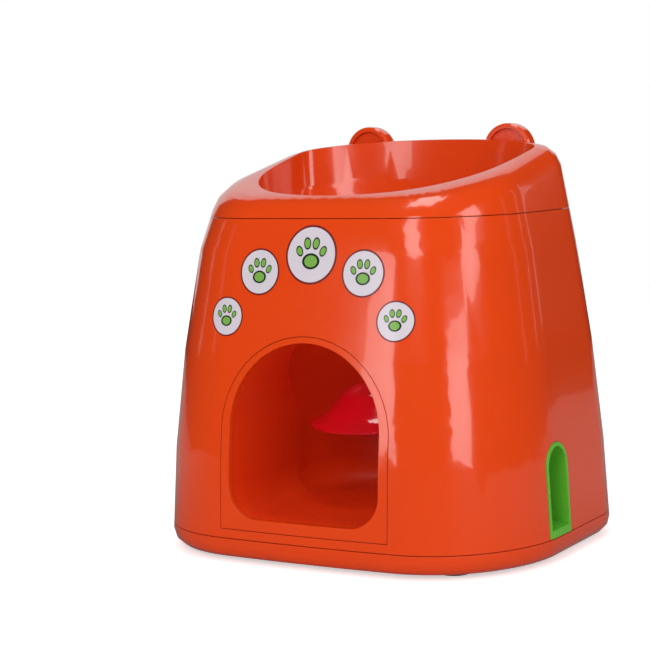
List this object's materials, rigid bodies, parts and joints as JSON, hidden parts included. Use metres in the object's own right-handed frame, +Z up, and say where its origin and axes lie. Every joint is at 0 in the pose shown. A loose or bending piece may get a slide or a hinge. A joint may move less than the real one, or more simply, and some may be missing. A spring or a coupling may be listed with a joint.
{
  "type": "dog ball drop treat toy",
  "caption": "Tapered dog toy: a ball dropped in the top bowl trips a striker, rolls out of a front arch and treats leave a side slot.",
  "frame": {"origin": "centre of the bounding box at the plane the feet rest on", "axes": "+X to the right seen from the front, front faces -Y, +Z up"},
  "size_m": [0.1868, 0.1706, 0.188],
  "materials": {
    "orange_gloss": "polished ABS",
    "orange_satin": "semi-gloss ABS",
    "green_gloss": "polished ABS",
    "red_gloss": "polished ABS",
    "inner_white": "moulded",
    "inner_grey": "moulded",
    "gear_white": "acetal, moulded",
    "steel": "zinc plated",
    "foot_rubber": "soft rubber"
  },
  "bodies": {
    "housing": {"main_shell": "orange_gloss", "top_hopper": "orange_gloss", "base_tray": "orange_gloss", "mouth_frame": "orange_gloss", "ball_chamber": "orange_satin", "treat_outlet": "green_gloss", "treat_chute": "inner_white", "treat_hopper": "inner_white", "door_hinge_pin": "steel", "mechanism_frame": "inner_grey", "return_spring": "steel", "ear_left": "orange_gloss", "ear_right": "orange_gloss", "rubber_feet": "foot_rubber", "base_screws": "steel", "frame_screws": "steel", "top_screws": "steel"},
    "lever": {"trip_lever": "red_gloss", "striker_cap": "red_gloss", "lever_shaft": "steel", "lever_shaft_clip": "steel", "sector_gear": "gear_white"},
    "drum": {"dosing_drum": "inner_white", "drum_shaft": "steel", "drum_pinion": "gear_white", "drum_shaft_clips": "steel"},
    "door": {"rear_door": "orange_gloss"}
  },
  "joints": [
    {"name": "lever_pivot", "type": "hinge", "parent": "housing", "child": "lever", "pos_m": [0, 0.028, 0.05], "axis": [1, 0, 0], "range_deg": [0, 23], "stiffness_Nm_per_rad": 0.018, "springref_deg": -22.92, "deforming": ["return_spring"]},
    {"name": "drum_spin", "type": "hinge", "parent": "housing", "child": "drum", "pos_m": [0, 0.04635, 0.07621], "axis": [1, 0, 0], "range_deg": [-112, 0]},
    {"name": "door_hinge", "type": "hinge", "parent": "housing", "child": "door", "pos_m": [0, 0.07096, 0.1015], "axis": [-1, 0, 0], "range_deg": [0, 85]}
  ],
  "couplings": [
    {"joint": "drum_spin", "follows": "lever_pivot", "ratio": -4.8182}
  ]
}
